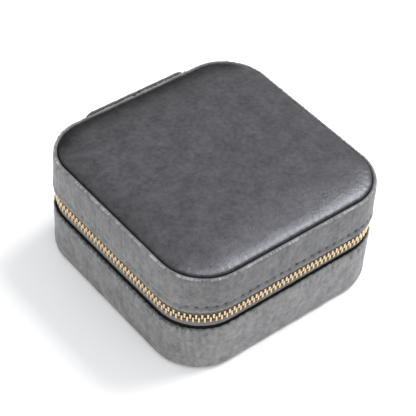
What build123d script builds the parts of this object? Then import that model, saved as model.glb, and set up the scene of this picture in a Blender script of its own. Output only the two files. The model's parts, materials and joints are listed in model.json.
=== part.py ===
from build123d import *

import math
import os

# Square travel jewelry case: two velvet-covered shells with rounded corners, joined by a soft
# hinge panel at the back and closed by a metal zipper round the other sides.
#
# The origin is at the centre of the flat bottom. +Z is up, the front faces -Y, the hinge is at
# +Y, and the zipper's slider parks on the +X side. All sizes are in millimetres.
#
# From outside in, each wall is a velvet cover, the zipper tape, a moulded shell and a thin
# lining. A "half" below is half the width of a rounded square centred on the Z axis.

# Overall size
CASE_SIDE = 100.0
CASE_HEIGHT = 50.0
CORNER_RADIUS = 20.0
HALF = CASE_SIDE / 2
CORNER_CENTRE = HALF - CORNER_RADIUS
SPLIT_Z = 28.5  # the lid and the base part at this height

# Layers of a wall, as halves
COVER_HALF = HALF
TAPE_HALF = 49.0
SHELL_HALF = 48.5
REBATE_HALF = 46.8  # the shell steps in near its rim, so that the slider's inner plate has room
SHELL_INSIDE_HALF = 45.6
LINING_INSIDE_HALF = 45.0

# Base, from the bottom up
BOTTOM_PANEL_HALF = 47.0
BOTTOM_PANEL_TOP = 1.0
COVER_BOTTOM = 0.3
COVER_FLANGE_HALF = 40.0  # the cover folds under the shell as far as this
BASE_SHELL_BOTTOM = 1.6
BASE_SHELL_FLOOR = 3.4
FLOOR_LINER_TOP = 4.6
BASE_TAPE_BOTTOM = 16.0
BASE_REBATE_BOTTOM = 22.5
BASE_COVER_TOP = 23.5
BASE_SHELL_TOP = 27.6
BASE_LINING_TOP = 28.2

# Lid, from the rim up
LID_LINING_BOTTOM = 28.8
LID_SHELL_BOTTOM = 29.4
LID_COVER_BOTTOM = 33.0
LID_REBATE_TOP = 34.5
LID_TAPE_TOP = 41.0
LID_SHELL_CEILING = 45.2
LID_SHELL_TOP = 47.0
LID_FLANGE_TOP = 47.6
LID_FLANGE_HALF = 44.0
LID_COVER_TOP = 48.8
TOP_PANEL_HALF = 48.3
FOAM_HALF = 46.8
FOAM_TOP = 49.2
FOLD_RADIUS = 0.45  # a folded fabric edge
EDGE_RADIUS = 0.8  # a softened outer edge
TOP_PANEL_EDGE_RADIUS = 0.7

# Mirror under the lid's ceiling
MIRROR_FRAME_HALF = 44.8
MIRROR_FRAME_BOTTOM = 42.7
MIRROR_OPENING_HALF = 36.2
MIRROR_HALF = 37.6
MIRROR_BOTTOM = 43.2
MIRROR_TOP = 44.8
ADHESIVE_HALF = 34.0

# Hinge panel outside and hinge strip inside, both at the back
HINGE_PANEL_WIDTH = 50.0
HINGE_PANEL_THICKNESS = 1.6
HINGE_PANEL_BOTTOM = 1.5
HINGE_PANEL_TOP = 48.4
HINGE_PANEL_CORNER = 4.0
HINGE_GAP = 0.25  # each leaf stops this far from the split
HINGE_STRIP_WIDTH = 56.0
HINGE_STRIP_THICKNESS = 0.5
HINGE_STRIP_REACH = 9.5

# Trays in the base
CENTRE_DIVIDER_X = (-2.0, 0.6)
CENTRE_DIVIDER_TOP = 25.6
ROLL_COUNT = 8
ROLL_SPAN = 88.6  # the rolls' stretch along Y
ROLL_GAP = 0.27
ROLL_TOP = 22.6
ROLL_ROUNDING = 5.2
ROLL_COVER_THICKNESS = 0.8
ROLL_CAVITY_HALF = 44.9
ROLL_END_X = -2.2
DIVIDER_POSITIONS_Y = {"divider_front": -15.0, "divider_back": 15.0}
DIVIDER_X = (0.9, 44.7)
DIVIDER_THICKNESS = 2.4
DIVIDER_BOTTOM = 4.7
DIVIDER_HEIGHT = 19.0

# Zipper chain
TAPE_EDGE_GAP = 1.0  # from the split to each tape's inner edge
TAPE_END_X = 20.0  # the tapes end here under the hinge panel
TRACK_HALF = (TAPE_HALF + SHELL_HALF) / 2
TAPE_THICKNESS = TAPE_HALF - SHELL_HALF
TOOTH_PITCH = 2.1
TOOTH_WIDTH = 0.95
TOOTH_THICKNESS = 1.9
TOOTH_REACH = 2.1  # from the split to a tooth's outer end
TOOTH_OVERLAP = 0.4  # how far a tooth passes the split into the other row
TOOTH_SLOT_CLEARANCE = 0.08
TEETH_START_X = 27.0  # the first tooth is this far left of the centre, on the back wall
TEETH_END_Y = 24.5  # the last tooth on the +X side
STOP_LENGTH = 1.2
STOP_THICKNESS = 1.7
TOP_STOP_Y = 29.3
BOTTOM_STOP_X = -24.9

# Slider and its pull tab, at the slider's parking place on the +X side
SLIDER_Y = 24.0
SLIDER_LENGTH = 9.0
SLIDER_HALF_WIDTH = 3.6
SLIDER_OUTER_PLATE_X = (49.9, 50.7)
SLIDER_INNER_PLATE_X = (46.95, 47.6)
SLIDER_CORNER = 1.6
FLANGE_WIDTH = 0.7
FLANGE_DEPTH = 0.75
POST_Y = (25.6, 28.2)
POST_HALF_WIDTH = 0.8
BRIDGE_SPAN = 7.0
BRIDGE_WIDTH = 1.6
BRIDGE_BAR_X = (52.4, 53.2)
BRIDGE_LEG = 1.0
PULL_AXIS_X = 51.6
PULL_THICKNESS = 0.9
PULL_EYE_LENGTH = 4.5
PULL_EYE_HALF_WIDTH = 1.35
PULL_RAIL_HALF_WIDTH = 2.15
PULL_HALF_WIDTH = 3.0
PULL_LENGTH = 24.0
PULL_HOLE_RADIUS = 1.0
PULL_HOLE_FROM_END = 3.4


def corner_radius(half):
    """All the rounded squares are concentric at their corners."""
    return CORNER_RADIUS - (HALF - half)


def slab(half, low, high, soften_bottom=0.0, soften_top=0.0):
    """A rounded-square block from one height to another, with its rims softened if asked."""
    outline = RectangleRounded(2 * half, 2 * half, corner_radius(half))
    body = extrude(Plane.XY.offset(low) * outline, amount=high - low)
    if soften_bottom:
        body = fillet(body.edges().group_by(Axis.Z)[0], soften_bottom)
    if soften_top:
        body = fillet(body.edges().group_by(Axis.Z)[-1], soften_top)
    return body


def ring(outer_half, inner_half, low, high):
    return slab(outer_half, low, high) - slab(inner_half, low, high)


def block(x, y, z):
    """A box given by its lowest and highest x, y and z."""
    size = [high - low for low, high in (x, y, z)]
    middle = [(high + low) / 2 for low, high in (x, y, z)]
    return Location(tuple(middle)) * Box(*size)


def mirrored_to_lid(shape):
    """The same piece on the other side of the split."""
    return shape.mirror(Plane.XY.offset(SPLIT_Z))


# ---------------------------------------------------------------- base


def make_base_shell():
    outside = slab(SHELL_HALF, BASE_SHELL_BOTTOM, BASE_REBATE_BOTTOM)
    rim = slab(REBATE_HALF, BASE_REBATE_BOTTOM, BASE_SHELL_TOP)
    return outside + rim - slab(SHELL_INSIDE_HALF, BASE_SHELL_FLOOR, BASE_SHELL_TOP)


def make_base_outer_cover():
    """Velvet over thin foam, folded in at its top edge and under the shell."""
    band = slab(COVER_HALF, COVER_BOTTOM, BASE_COVER_TOP, EDGE_RADIUS, FOLD_RADIUS)
    band -= slab(SHELL_HALF, COVER_BOTTOM, BASE_TAPE_BOTTOM)
    band -= slab(TAPE_HALF, BASE_TAPE_BOTTOM, BASE_COVER_TOP)
    return band + ring(SHELL_HALF, COVER_FLANGE_HALF, BOTTOM_PANEL_TOP, BASE_SHELL_BOTTOM)


def make_bottom_panel():
    panel = slab(BOTTOM_PANEL_HALF, 0.0, BOTTOM_PANEL_TOP)
    return panel + slab(COVER_FLANGE_HALF, BOTTOM_PANEL_TOP, BASE_SHELL_BOTTOM)


def make_base_lining():
    wall = ring(SHELL_INSIDE_HALF, LINING_INSIDE_HALF, BASE_SHELL_FLOOR, BASE_SHELL_TOP)
    return wall + ring(REBATE_HALF, LINING_INSIDE_HALF, BASE_SHELL_TOP, BASE_LINING_TOP)


def make_floor_liner():
    return slab(LINING_INSIDE_HALF, BASE_SHELL_FLOOR, FLOOR_LINER_TOP)


def make_centre_divider():
    """The fixed wall between the ring rolls and the open trays."""
    strip_face = LINING_INSIDE_HALF - HINGE_STRIP_THICKNESS - 0.1
    depth = (-LINING_INSIDE_HALF + 0.1, strip_face)
    return block(CENTRE_DIVIDER_X, depth, (FLOOR_LINER_TOP, CENTRE_DIVIDER_TOP))


def make_divider(y):
    """A loose cross wall that lifts out of the trays."""
    thickness = (y - DIVIDER_THICKNESS / 2, y + DIVIDER_THICKNESS / 2)
    height = (DIVIDER_BOTTOM, DIVIDER_BOTTOM + DIVIDER_HEIGHT)
    return block(DIVIDER_X, thickness, height)


def roll_body(index, inset):
    """One round-topped roll along X, shrunk on every side by inset and cut to the tray's corners."""
    pitch = ROLL_SPAN / ROLL_COUNT
    middle = -ROLL_SPAN / 2 + (index + 0.5) * pitch
    reach = (pitch - ROLL_GAP) / 2 - inset
    body = block(
        (-HALF, ROLL_END_X - inset),
        (middle - reach, middle + reach),
        (FLOOR_LINER_TOP + inset, ROLL_TOP - inset),
    )
    top_edges = body.edges().filter_by(Axis.X).group_by(Axis.Z)[-1]
    body = fillet(top_edges, ROLL_ROUNDING - inset)
    return body & slab(ROLL_CAVITY_HALF - inset, FLOOR_LINER_TOP, ROLL_TOP)


# ---------------------------------------------------------------- lid


def make_lid_shell():
    rim = slab(REBATE_HALF, LID_SHELL_BOTTOM, LID_REBATE_TOP)
    outside = slab(SHELL_HALF, LID_REBATE_TOP, LID_SHELL_TOP)
    return rim + outside - slab(SHELL_INSIDE_HALF, LID_SHELL_BOTTOM, LID_SHELL_CEILING)


def make_lid_outer_cover():
    """Velvet over thin foam, folded in at its lower edge and over the top of the shell."""
    band = slab(COVER_HALF, LID_COVER_BOTTOM, LID_COVER_TOP, FOLD_RADIUS, EDGE_RADIUS)
    band -= slab(TAPE_HALF, LID_COVER_BOTTOM, LID_TAPE_TOP)
    band -= slab(SHELL_HALF, LID_TAPE_TOP, LID_COVER_TOP)
    return band + ring(SHELL_HALF, LID_FLANGE_HALF, LID_SHELL_TOP, LID_FLANGE_TOP)


def make_lid_foam_pad():
    pad = slab(FOAM_HALF, LID_FLANGE_TOP, FOAM_TOP)
    return pad + slab(LID_FLANGE_HALF, LID_SHELL_TOP, LID_FLANGE_TOP)


def make_lid_top_cover():
    """The velvet top panel, stretched over the foam and set inside the lid's band."""
    panel = slab(TOP_PANEL_HALF, LID_FLANGE_TOP, CASE_HEIGHT, 0.0, TOP_PANEL_EDGE_RADIUS)
    return panel - slab(FOAM_HALF, LID_FLANGE_TOP, FOAM_TOP)


def make_lid_lining():
    wall = ring(SHELL_INSIDE_HALF, LINING_INSIDE_HALF, LID_SHELL_BOTTOM, LID_SHELL_CEILING)
    return wall + ring(REBATE_HALF, LINING_INSIDE_HALF, LID_LINING_BOTTOM, LID_SHELL_BOTTOM)


def make_mirror_frame():
    frame = slab(MIRROR_FRAME_HALF, MIRROR_FRAME_BOTTOM, LID_SHELL_CEILING, EDGE_RADIUS)
    frame -= slab(MIRROR_OPENING_HALF, MIRROR_FRAME_BOTTOM, MIRROR_BOTTOM)
    return frame - slab(MIRROR_HALF, MIRROR_BOTTOM, LID_SHELL_CEILING)


def make_mirror_glass():
    return slab(MIRROR_HALF, MIRROR_BOTTOM, MIRROR_TOP)


def make_mirror_adhesive_pad():
    return slab(ADHESIVE_HALF, MIRROR_TOP, LID_SHELL_CEILING)


# ---------------------------------------------------------------- hinge


def hinge_panel_leaf(low, high, rounded_end):
    """One leaf of the outer hinge panel. rounded_end is 0 for the bottom corners, -1 for the top."""
    half_width = HINGE_PANEL_WIDTH / 2
    leaf = block(
        (-half_width, half_width), (HALF, HALF + HINGE_PANEL_THICKNESS), (low, high)
    )
    corners = leaf.edges().filter_by(Axis.Y).group_by(Axis.Z)[rounded_end]
    return fillet(corners, HINGE_PANEL_CORNER)


def make_hinge_strip_lower():
    """One leaf of the strip that covers the hinge inside the case."""
    half_width = HINGE_STRIP_WIDTH / 2
    depth = (LINING_INSIDE_HALF - HINGE_STRIP_THICKNESS, LINING_INSIDE_HALF)
    height = (SPLIT_Z - HINGE_STRIP_REACH, BASE_LINING_TOP)
    return block((-half_width, half_width), depth, height)


# ---------------------------------------------------------------- zipper


def make_tape_lower():
    tape = ring(TAPE_HALF, SHELL_HALF, BASE_TAPE_BOTTOM, SPLIT_Z - TAPE_EDGE_GAP)
    under_panel = block((-TAPE_END_X, TAPE_END_X), (CORNER_CENTRE, HALF), (0, CASE_HEIGHT))
    return tape - under_panel


def track_location(distance):
    """The place and heading on the zipper's centre line, this far from its first tooth.

    The track starts on the back wall beside the hinge panel, and runs round by -X, the front and +X.
    Local X is along the track and local Y points into the case.
    """
    radius = corner_radius(TRACK_HALF)
    place = Vector(-TEETH_START_X, TRACK_HALF, SPLIT_Z)
    heading = math.pi
    first_straight = CORNER_CENTRE - TEETH_START_X
    for straight in (first_straight, 2 * CORNER_CENTRE, 2 * CORNER_CENTRE, 2 * CORNER_CENTRE):
        step = min(distance, straight)
        place += Vector(math.cos(heading), math.sin(heading)) * step
        distance -= step
        if distance <= 0:
            break
        turn = min(distance, radius * math.pi / 2) / radius
        centre = place + Vector(-math.sin(heading), math.cos(heading)) * radius
        heading += turn
        place = centre - Vector(-math.sin(heading), math.cos(heading)) * radius
        distance -= turn * radius
        if distance <= 0:
            break
    return Location(tuple(place), (0, 0, math.degrees(heading)))


def track_length():
    corners = 3 * corner_radius(TRACK_HALF) * math.pi / 2
    straights = (CORNER_CENTRE - TEETH_START_X) + 5 * CORNER_CENTRE + TEETH_END_Y
    return corners + straights


def clamp_on_tape(length, thickness, low, high):
    """A small metal piece astride the lower tape's edge, centred on the track. Heights are from the split."""
    slot = TAPE_THICKNESS / 2 + TOOTH_SLOT_CLEARANCE
    piece = block((-length / 2, length / 2), (-thickness / 2, thickness / 2), (low, high))
    slot_top = -TAPE_EDGE_GAP + TOOTH_SLOT_CLEARANCE
    return piece - block((-length, length), (-slot, slot), (low, slot_top))


def make_teeth(upper):
    """One row of teeth. The two rows stand half a pitch apart, so that they mesh."""
    tooth = clamp_on_tape(TOOTH_WIDTH, TOOTH_THICKNESS, -TOOTH_REACH, TOOTH_OVERLAP)
    if upper:
        tooth = tooth.mirror(Plane.XY)
    start = TOOTH_PITCH / 2 if upper else 0.0
    count = int((track_length() - start) / TOOTH_PITCH) + 1
    row = [track_location(start + i * TOOTH_PITCH) * tooth for i in range(count)]
    return Compound(children=row)


def make_top_stop_lower():
    stop = clamp_on_tape(STOP_LENGTH, STOP_THICKNESS, -TOOTH_REACH, -0.3)
    return Location((TRACK_HALF, TOP_STOP_Y, SPLIT_Z), (0, 0, 90)) * stop


def make_bottom_stop():
    stop = clamp_on_tape(STOP_LENGTH, STOP_THICKNESS, -TOOTH_REACH, -0.3)
    return Location((BOTTOM_STOP_X, TRACK_HALF, SPLIT_Z), (0, 0, 180)) * stop


def slider_plate(x):
    ends = (SLIDER_Y - SLIDER_LENGTH / 2, SLIDER_Y + SLIDER_LENGTH / 2)
    plate = block(x, ends, (SPLIT_Z - SLIDER_HALF_WIDTH, SPLIT_Z + SLIDER_HALF_WIDTH))
    return fillet(plate.edges().filter_by(Axis.X), SLIDER_CORNER)


def slider_flanges(x):
    """The turned-in rims that keep the chain between the plates."""
    ends = (
        SLIDER_Y - SLIDER_LENGTH / 2 + SLIDER_CORNER,
        SLIDER_Y + SLIDER_LENGTH / 2 - SLIDER_CORNER,
    )
    outer = SLIDER_HALF_WIDTH
    inner = SLIDER_HALF_WIDTH - FLANGE_WIDTH
    low = block(x, ends, (SPLIT_Z - outer, SPLIT_Z - inner))
    high = block(x, ends, (SPLIT_Z + inner, SPLIT_Z + outer))
    return low + high


def make_slider_body():
    """Two plates joined by the post that parts the chain, with a bridge for the pull tab."""
    outer_low, outer_high = SLIDER_OUTER_PLATE_X
    inner_low, inner_high = SLIDER_INNER_PLATE_X
    body = slider_plate(SLIDER_OUTER_PLATE_X) + slider_plate(SLIDER_INNER_PLATE_X)
    body += slider_flanges((outer_low - FLANGE_DEPTH, outer_low))
    body += slider_flanges((inner_high, inner_high + FLANGE_DEPTH))
    post_height = (SPLIT_Z - POST_HALF_WIDTH, SPLIT_Z + POST_HALF_WIDTH)
    body += block((inner_high, outer_low), POST_Y, post_height)
    half_span = BRIDGE_SPAN / 2
    bridge_height = (SPLIT_Z - BRIDGE_WIDTH / 2, SPLIT_Z + BRIDGE_WIDTH / 2)
    bridge = block(
        (outer_high, BRIDGE_BAR_X[1]),
        (SLIDER_Y - half_span, SLIDER_Y + half_span),
        bridge_height,
    )
    bridge = fillet(bridge.edges().filter_by(Axis.Z).group_by(Axis.X)[-1], BRIDGE_LEG)
    window = block(
        (outer_high, BRIDGE_BAR_X[0]),
        (SLIDER_Y - half_span + BRIDGE_LEG, SLIDER_Y + half_span - BRIDGE_LEG),
        bridge_height,
    )
    return body + (bridge - window)


def make_pull_tab():
    """A flat tab whose eye loops through the slider's bridge, lying forward along the wall."""
    half_thickness = PULL_THICKNESS / 2
    eye_end = SLIDER_Y - PULL_EYE_LENGTH
    tab_end = SLIDER_Y - PULL_LENGTH
    thickness = (PULL_AXIS_X - half_thickness, PULL_AXIS_X + half_thickness)
    tab = block(
        thickness, (tab_end, eye_end), (SPLIT_Z - PULL_HALF_WIDTH, SPLIT_Z + PULL_HALF_WIDTH)
    )
    tab = fillet(tab.edges().filter_by(Axis.X).group_by(Axis.Y)[0], PULL_HALF_WIDTH - 0.1)
    tab = fillet(tab.edges().filter_by(Axis.X).group_by(Axis.Y)[-1], EDGE_RADIUS)
    hole_place = Location((PULL_AXIS_X, tab_end + PULL_HOLE_FROM_END, SPLIT_Z), (0, 90, 0))
    tab -= hole_place * Cylinder(PULL_HOLE_RADIUS, 2 * PULL_THICKNESS)
    for side in (-1, 1):
        inner = SPLIT_Z + side * PULL_EYE_HALF_WIDTH
        outer = SPLIT_Z + side * PULL_RAIL_HALF_WIDTH
        tab += block(thickness, (eye_end - 0.1, SLIDER_Y), tuple(sorted((inner, outer))))
    crossbar = Cylinder(half_thickness, 2 * PULL_RAIL_HALF_WIDTH)
    return tab + Location((PULL_AXIS_X, SLIDER_Y, SPLIT_Z)) * crossbar


# ---------------------------------------------------------------- assembly


def make_nodes():
    panel_top_of_base = SPLIT_Z - HINGE_GAP
    panel_bottom_of_lid = SPLIT_Z + HINGE_GAP
    nodes = {
        "base_shell": make_base_shell(),
        "base_outer_cover": make_base_outer_cover(),
        "bottom_panel": make_bottom_panel(),
        "base_lining": make_base_lining(),
        "floor_liner": make_floor_liner(),
        "centre_divider": make_centre_divider(),
        "lid_shell": make_lid_shell(),
        "lid_outer_cover": make_lid_outer_cover(),
        "lid_foam_pad": make_lid_foam_pad(),
        "lid_top_cover": make_lid_top_cover(),
        "lid_lining": make_lid_lining(),
        "mirror_frame": make_mirror_frame(),
        "mirror_glass": make_mirror_glass(),
        "mirror_adhesive_pad": make_mirror_adhesive_pad(),
        "hinge_panel_lower": hinge_panel_leaf(HINGE_PANEL_BOTTOM, panel_top_of_base, 0),
        "hinge_panel_upper": hinge_panel_leaf(panel_bottom_of_lid, HINGE_PANEL_TOP, -1),
        "hinge_strip_lower": make_hinge_strip_lower(),
        "hinge_strip_upper": mirrored_to_lid(make_hinge_strip_lower()),
        "zipper_tape_lower": make_tape_lower(),
        "zipper_tape_upper": mirrored_to_lid(make_tape_lower()),
        "zipper_teeth_lower": make_teeth(upper=False),
        "zipper_teeth_upper": make_teeth(upper=True),
        "top_stop_lower": make_top_stop_lower(),
        "top_stop_upper": mirrored_to_lid(make_top_stop_lower()),
        "bottom_stop": make_bottom_stop(),
        "slider_body": make_slider_body(),
        "pull_tab": make_pull_tab(),
    }
    for name, y in DIVIDER_POSITIONS_Y.items():
        nodes[name] = make_divider(y)
    for index in range(ROLL_COUNT):
        core = roll_body(index, ROLL_COVER_THICKNESS)
        nodes[f"ring_roll_cover_{index + 1}"] = roll_body(index, 0.0) - core
        nodes[f"ring_roll_core_{index + 1}"] = core
    return nodes


os.makedirs("parts", exist_ok=True)
for node_name, shape in make_nodes().items():
    export_step(shape, f"parts/{node_name}.step")
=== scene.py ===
"""Looks of a square velvet travel jewelry case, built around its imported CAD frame.

Lengths are in metres, and MM turns millimetres into them. Places come from the frame's boxes.
Most pieces are sweeps: a cross-section, given as points (half, z), is carried round the case's
rounded square. A "half" is half the width of that square, so HALF is the outer wall.
"""

import json
import math

import bmesh
import bpy
import numpy as np
from mathutils import Matrix, Vector


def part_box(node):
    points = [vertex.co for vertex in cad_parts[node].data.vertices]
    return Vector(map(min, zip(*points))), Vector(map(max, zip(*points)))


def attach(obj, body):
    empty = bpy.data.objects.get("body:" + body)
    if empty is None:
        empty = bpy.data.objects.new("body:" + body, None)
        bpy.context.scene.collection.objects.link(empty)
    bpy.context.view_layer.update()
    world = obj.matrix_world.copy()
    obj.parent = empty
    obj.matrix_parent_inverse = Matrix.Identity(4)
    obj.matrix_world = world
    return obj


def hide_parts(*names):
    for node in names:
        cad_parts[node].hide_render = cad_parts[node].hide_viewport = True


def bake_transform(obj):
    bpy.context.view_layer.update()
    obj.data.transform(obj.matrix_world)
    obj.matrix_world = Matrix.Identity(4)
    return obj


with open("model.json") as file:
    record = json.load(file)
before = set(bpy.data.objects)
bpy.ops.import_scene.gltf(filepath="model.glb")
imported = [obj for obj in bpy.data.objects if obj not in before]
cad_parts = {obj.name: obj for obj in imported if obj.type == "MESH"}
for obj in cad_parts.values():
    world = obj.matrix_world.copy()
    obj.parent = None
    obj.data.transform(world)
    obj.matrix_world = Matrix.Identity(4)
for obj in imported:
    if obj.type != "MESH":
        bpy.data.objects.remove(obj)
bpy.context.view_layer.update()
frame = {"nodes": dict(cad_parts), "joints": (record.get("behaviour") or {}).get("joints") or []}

MM = 0.001

# ---------------------------------------------------------------- sizes read from the frame

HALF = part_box("lid_outer_cover")[1].x
CORNER_RADIUS = 20 * MM
CORNER_CENTRE = HALF - CORNER_RADIUS
AROUND = 8 * CORNER_CENTRE + 2 * math.pi * CORNER_RADIUS

lid_joint = next(j for j in frame["joints"] if j["name"] == "lid_hinge")
SPLIT_Z = lid_joint["pos_m"][2]
TAPE_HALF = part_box("zipper_tape_lower")[1].x
SHELL_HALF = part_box("base_shell")[1].x
TRACK_HALF = (TAPE_HALF + SHELL_HALF) / 2

# ---------------------------------------------------------------- camera

CAMERA_AZIMUTH = -41.6
CAMERA_ELEVATION = 44.43
CAMERA_ROLL = 4.26
CAMERA_DISTANCE = 594.6 * MM
CAMERA_TARGET = Vector((-1.5, 0.3, 25.0)) * MM
CAMERA_LENS = 130.7
CAMERA_CLIP_END = 20


def add_object(name, data):
    added = bpy.data.objects.new(name, data)
    bpy.context.scene.collection.objects.link(added)
    return added


def direction(azimuth, elevation):
    """Which way something lies from the case, by degrees: azimuth 0 is the front, and 90 is +X."""
    azimuth, elevation = math.radians(azimuth), math.radians(elevation)
    level = math.cos(elevation)
    return Vector((math.sin(azimuth) * level, -math.cos(azimuth) * level, math.sin(elevation)))


def make_camera():
    azimuth, roll = math.radians(CAMERA_AZIMUTH), math.radians(CAMERA_ROLL)
    back = direction(CAMERA_AZIMUTH, CAMERA_ELEVATION)
    level_right = Vector((math.cos(azimuth), math.sin(azimuth), 0))
    level_up = back.cross(level_right)
    right = level_right * math.cos(roll) + level_up * math.sin(roll)
    up = back.cross(right)
    camera = add_object("camera", bpy.data.cameras.new("camera"))
    turn = Matrix((right, up, back)).transposed().to_4x4()
    camera.matrix_world = Matrix.Translation(CAMERA_TARGET + back * CAMERA_DISTANCE) @ turn
    camera.data.lens = CAMERA_LENS
    camera.data.clip_end = CAMERA_CLIP_END
    bpy.context.scene.camera = camera


make_camera()

# ---------------------------------------------------------------- the rounded square


def wall_place(distance, half=HALF):
    """Skeleton points and outward directions at distances along the rounded square of that half.

    Distance 0 is the middle of the back wall, and it grows by -X, the front and +X. A point of the
    square is its skeleton point plus (half - CORNER_CENTRE) times its outward direction.
    """
    radius = half - CORNER_CENTRE
    cell = 2 * CORNER_CENTRE + radius * math.pi / 2
    shifted = np.mod(np.asarray(distance, float) + CORNER_CENTRE, 4 * cell)
    side = np.floor(shifted / cell)
    within = shifted - side * cell
    along = np.minimum(within, 2 * CORNER_CENTRE)
    turn = np.maximum(within - 2 * CORNER_CENTRE, 0) / radius
    quarter = side * math.pi / 2
    start = np.stack([np.cos(quarter) - np.sin(quarter), np.sin(quarter) + np.cos(quarter)], -1)
    heading = np.stack([-np.cos(quarter), -np.sin(quarter)], -1)
    skeleton = start * CORNER_CENTRE + along[..., None] * heading
    outward = quarter + turn + math.pi / 2
    return skeleton, np.stack([np.cos(outward), np.sin(outward)], -1)


def edge_distance(x, y, half):
    """How far inside the rounded square of that half the points lie."""
    over = np.stack([np.abs(x), np.abs(y)], -1) - CORNER_CENTRE
    outside = np.linalg.norm(np.maximum(over, 0), axis=-1)
    inside = np.minimum(np.max(over, -1), 0)
    return half - CORNER_CENTRE - outside - inside


RIPPLE_WAVES = 30


def ripple(s, z, longest, shortest, seed):
    """Smooth unevenness of about -1 to 1 over the wall, with no seam all the way round.

    Its waves are between longest and shortest, and the seed picks them.
    """
    random = np.random.default_rng(seed)
    total = np.zeros(np.broadcast(s, z).shape)
    for _ in range(RIPPLE_WAVES):
        turns = int(random.integers(round(AROUND / longest), round(AROUND / shortest) + 1))
        climb = random.uniform(-1, 1) * turns / AROUND
        total += np.cos(2 * math.pi * (turns * s / AROUND + climb * z + random.random()))
    return total / math.sqrt(RIPPLE_WAVES)


def bump(x, centre, width):
    """1 at centre, fading over width each side."""
    return np.exp(-(((x - centre) / width) ** 2))


def smooth_step(x, low, high):
    """0 up to low, 1 from high on, and a soft rise between them."""
    t = np.clip((x - low) / (high - low), 0, 1)
    return t * t * (3 - 2 * t)


# ---------------------------------------------------------------- meshes


def make_piece(name, points, faces, tone=None, cloth_uv=None, weld=None):
    """A smooth piece. tone is one number a point, and cloth_uv one pair a face corner.

    Points closer than weld are made one.
    """
    mesh = bpy.data.meshes.new(name)
    mesh.from_pydata(points.tolist(), [], faces)
    if cloth_uv is not None:
        layer = mesh.uv_layers.new(name="Cloth")
        layer.data.foreach_set("uv", np.asarray(cloth_uv, np.float32).ravel())
    if tone is not None:
        attribute = mesh.attributes.new("tone", "FLOAT", "POINT")
        attribute.data.foreach_set("value", np.asarray(tone, np.float32).ravel())
    geometry = bmesh.new()
    geometry.from_mesh(mesh)
    if weld:
        bmesh.ops.remove_doubles(geometry, verts=geometry.verts, dist=weld)
    bmesh.ops.recalc_face_normals(geometry, faces=geometry.faces)
    geometry.to_mesh(mesh)
    geometry.free()
    mesh.shade_smooth()
    return add_object(name, mesh)


def quad_grid(ring):
    """Faces between the neighbours in a grid of point numbers."""
    quads = np.stack([ring[:-1, :-1], ring[1:, :-1], ring[1:, 1:], ring[:-1, 1:]], -1)
    return quads.reshape(-1, 4).tolist()


def sweep(name, s, half, z, closed=True, tone=None):
    """A piece whose cross-section (half, z)[i, j] stands at distance s[i] round the case.

    The cross-section is a closed loop over j. A sweep that isn't closed gets flat ends.
    """
    skeleton, outward = wall_place(s)
    reach = half - CORNER_CENTRE
    flat = skeleton[:, None, :] + outward[:, None, :] * reach[..., None]
    points = np.concatenate([flat, z[..., None]], -1)
    rows, columns = z.shape
    index = np.arange(rows * columns).reshape(rows, columns)
    ring = np.hstack([index, index[:, :1]])
    u = np.asarray(s, float)
    if closed:
        ring = np.vstack([ring, ring[:1]])
        u = np.append(u, AROUND)
    step = np.hypot(*(np.roll(a.mean(0), -1) - a.mean(0) for a in (half, z)))
    v = np.concatenate([[0], np.cumsum(step)])
    faces = quad_grid(ring)
    uv_grid = np.stack(np.meshgrid(u, v, indexing="ij"), -1).reshape(-1, 2)
    cloth_uv = uv_grid[np.array(quad_grid(np.arange(len(uv_grid)).reshape(ring.shape))).ravel()]
    if not closed:
        faces += [index[0].tolist(), index[-1, ::-1].tolist()]
        cloth_uv = np.vstack([cloth_uv, np.zeros((2 * columns, 2))])
    return make_piece(name, points.reshape(-1, 3), faces, tone, cloth_uv)


def smooth_line(corners, spacing, passes):
    """A line through (half, z) corners, evenly divided, with its bends rounded and its ends kept."""
    corners = np.asarray(corners, float)
    length = np.concatenate([[0], np.cumsum(np.linalg.norm(np.diff(corners, axis=0), axis=1))])
    at = np.linspace(0, length[-1], max(4, round(length[-1] / spacing) + 1))
    line = np.stack([np.interp(at, length, corners[:, k]) for k in (0, 1)], -1)
    for _ in range(passes):
        line[1:-1] = line[1:-1] / 2 + (line[2:] + line[:-2]) / 4
    return line


def along_ring(profile, s):
    """The cross-section's half and z, repeated at every distance."""
    return [np.repeat(profile[None, :, k], len(s), 0) for k in (0, 1)]


def from_corner(half, z, *steps):
    """Cross-section points, each at a step in millimetres from that corner."""
    return [(half + sideways * MM, z + up * MM) for sideways, up in steps]


def ring_steps(spacing):
    """Distances round the outer wall, evenly spaced."""
    count = round(AROUND / spacing)
    return np.arange(count) / count * AROUND


def loft(rings):
    """Points and faces of a closed body through rings of equal count, with flat ends."""
    count, size = len(rings), len(rings[0])
    index = np.arange(count * size).reshape(count, size)
    ring = np.hstack([index, index[:, :1]])
    ends = [index[0].tolist(), index[-1, ::-1].tolist()]
    return np.vstack(rings), quad_grid(ring) + ends


def joined(name, bodies):
    """One piece from several (points, faces)."""
    points, faces, start = [], [], 0
    for body_points, body_faces in bodies:
        points.append(body_points)
        faces += [[start + i for i in face] for face in body_faces]
        start += len(body_points)
    return make_piece(name, np.vstack(points), faces)


# ---------------------------------------------------------------- materials

NOISE_LOW, NOISE_HIGH = 0.3, 0.7
DARKEST_TONE = 0.04
SHEEN_TINT = (0.88, 0.90, 1.0, 1)
GLOSS_TINT = (0.91, 0.93, 1.0, 1)
PILE_DEPTH = 0.12 * MM


def tinted(colour, gain):
    return tuple(gain * c for c in colour)


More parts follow.
